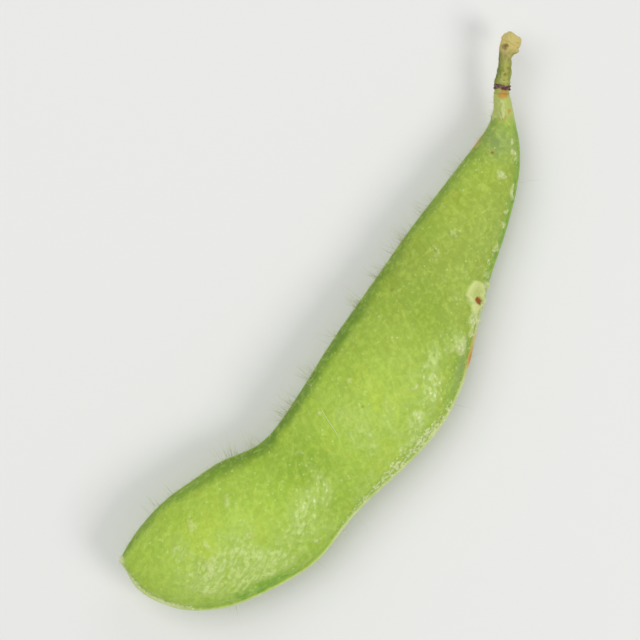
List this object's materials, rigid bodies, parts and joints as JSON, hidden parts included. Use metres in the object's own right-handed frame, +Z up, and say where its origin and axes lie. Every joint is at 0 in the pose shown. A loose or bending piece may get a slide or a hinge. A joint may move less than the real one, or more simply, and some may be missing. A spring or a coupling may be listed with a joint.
{
  "type": "edamame pod",
  "caption": "Fresh green soybean pod as picked, lying flat: a bowed, bean-swollen hull with a pointed beak, a calyx scar ring and a short stalk stub.",
  "frame": {"origin": "on the resting surface, under the middle of the whole pod's box, stalk stub included", "axes": "+X from the beak to the stalk, +Y to the hollow side of the bow, +Z up, through the two flat sides of the pod"},
  "size_m": [0.0688, 0.0208, 0.0089],
  "materials": {
    "pod_skin": null,
    "calyx_scar": null,
    "stalk_skin": null
  },
  "bodies": {
    "root": {"pod": "pod_skin", "calyx_ring": "calyx_scar", "stalk": "stalk_skin"}
  },
  "joints": []
}
